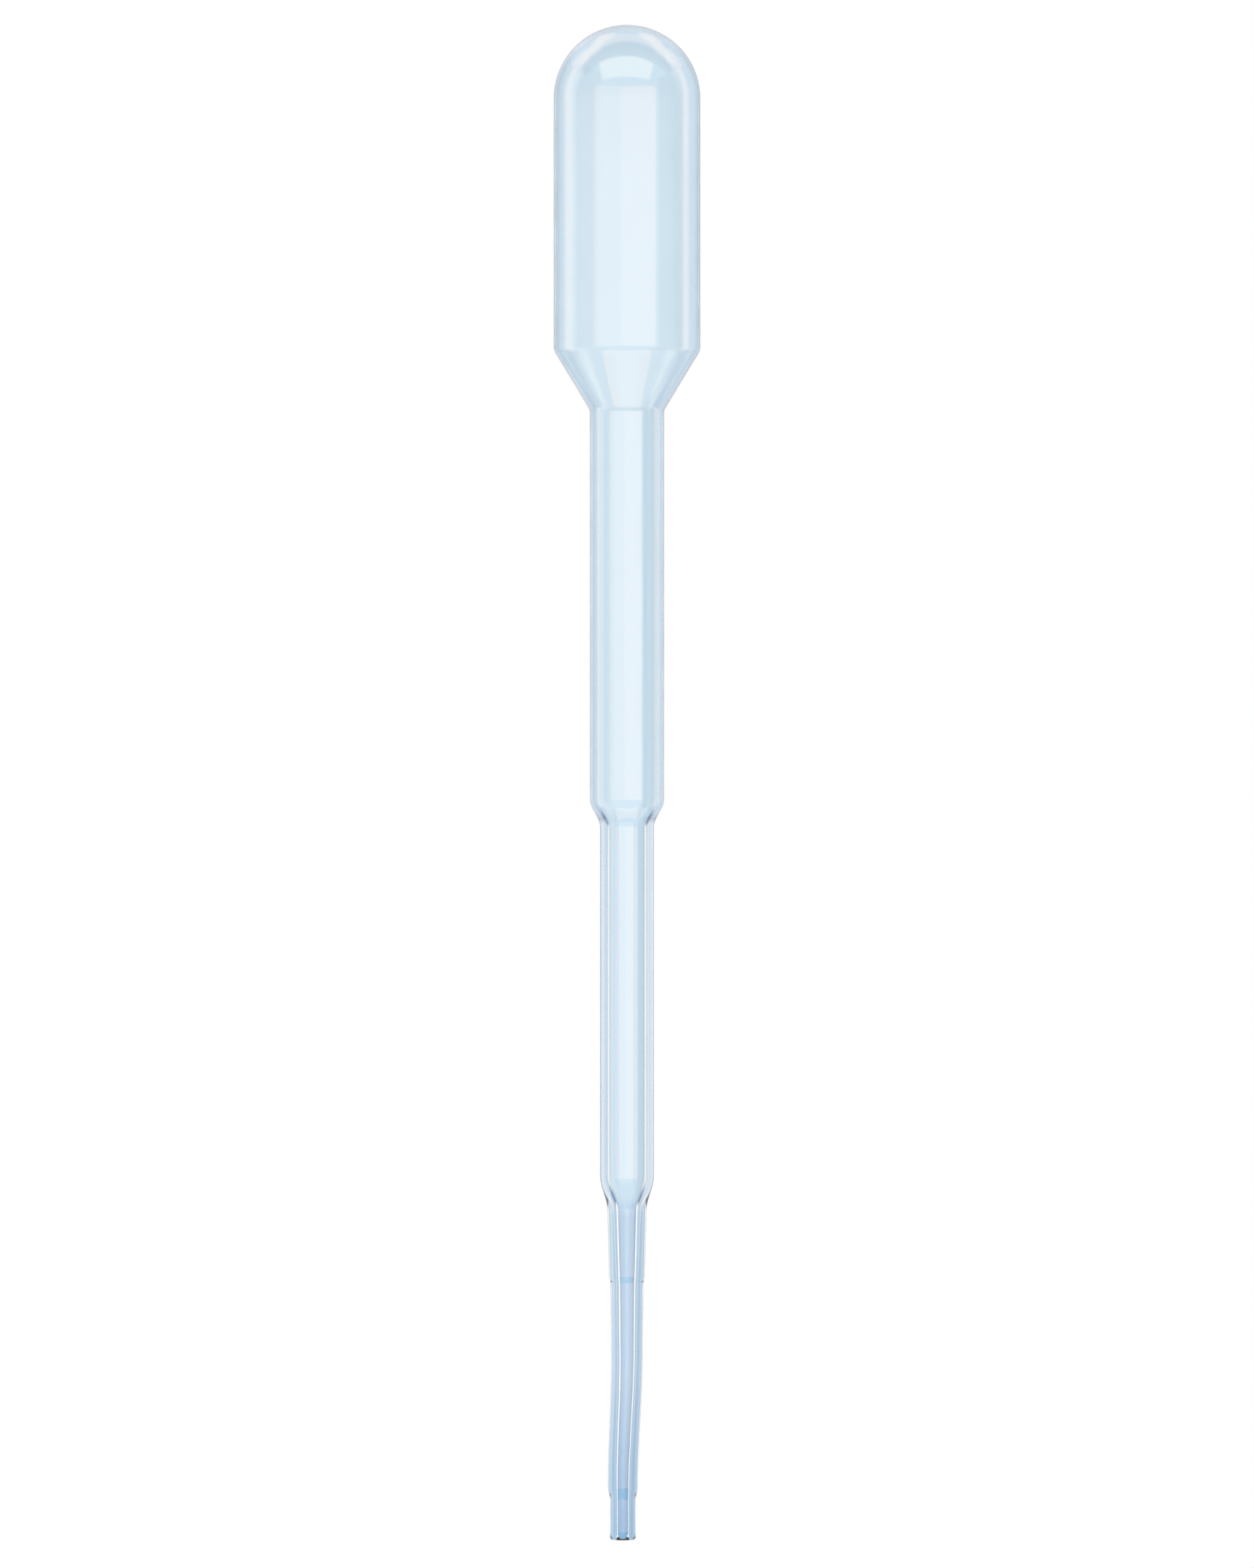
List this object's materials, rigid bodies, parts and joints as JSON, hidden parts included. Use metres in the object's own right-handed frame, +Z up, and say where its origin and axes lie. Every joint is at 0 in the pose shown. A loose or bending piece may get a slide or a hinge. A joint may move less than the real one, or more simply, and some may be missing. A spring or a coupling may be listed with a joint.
{
  "type": "transfer pipette",
  "caption": "Soft translucent plastic transfer pipette: round-topped squeeze bulb, conical shoulder, stepped stem and a drawn fine tip.",
  "frame": {"origin": "centre of the tip's end face, on the axis", "axes": "+Z up the axis from the tip to the bulb; -Y faces the viewer and +X is to the viewer's right; the walls that are squeezed face -Y and +Y"},
  "size_m": [0.0142, 0.0142, 0.147],
  "materials": {
    "polyethylene": "satin, translucent, faintly blue"
  },
  "bodies": {
    "tube": {"bulb_crown": "polyethylene", "bulb_left_wall": "polyethylene", "bulb_right_wall": "polyethylene", "bulb_shoulder": "polyethylene", "upper_stem": "polyethylene", "upper_step": "polyethylene", "lower_stem": "polyethylene", "lower_step": "polyethylene", "tip_neck": "polyethylene", "fine_tip": "polyethylene", "tip_nozzle": "polyethylene"},
    "front_wall": {"front_squeeze_wall": "polyethylene"},
    "rear_wall": {"rear_squeeze_wall": "polyethylene"}
  },
  "joints": [
    {"name": "front_squeeze", "type": "slide", "parent": "tube", "child": "front_wall", "axis": [0, 1, 0], "range_m": [0, 0.004], "stiffness_N_per_m": 1000},
    {"name": "rear_squeeze", "type": "slide", "parent": "tube", "child": "rear_wall", "axis": [0, -1, 0], "range_m": [0, 0.004], "stiffness_N_per_m": 1000}
  ],
  "couplings": [
    {"joint": "rear_squeeze", "follows": "front_squeeze", "ratio": 1}
  ]
}
